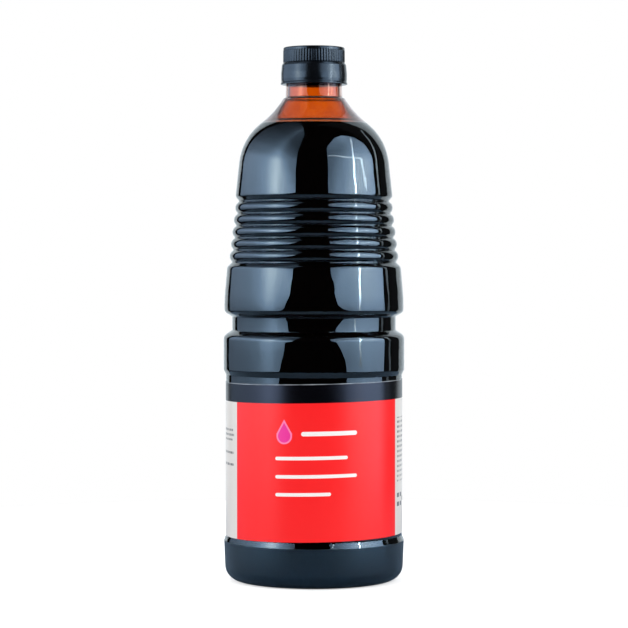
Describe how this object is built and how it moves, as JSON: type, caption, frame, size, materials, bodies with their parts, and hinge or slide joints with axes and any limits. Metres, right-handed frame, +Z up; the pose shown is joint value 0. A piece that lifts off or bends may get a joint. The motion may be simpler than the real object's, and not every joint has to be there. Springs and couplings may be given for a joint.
{
  "type": "teriyaki sauce bottle",
  "caption": "Tall clear plastic bottle of dark sauce with a ribbed shoulder, two grip bands round a waist, a wrap-round label and a fluted black screw cap.",
  "frame": {"origin": "centre of the foot ring, on the surface the bottle stands on", "axes": "+Z up along the bottle's axis; -Y out of the middle of the label's front"},
  "size_m": [0.1018, 0.1018, 0.2995],
  "materials": {
    "clear_plastic": "clear, glossy",
    "sauce": "dark glossy liquid",
    "cap_plastic": "semi-gloss black",
    "label_film": "satin film, red front, cream sides and back, black top strip"
  },
  "bodies": {
    "root": {"bottle": "clear_plastic", "sauce": "sauce", "cap_collar": "cap_plastic", "cap_lid": "cap_plastic", "label": "label_film"}
  },
  "joints": []
}
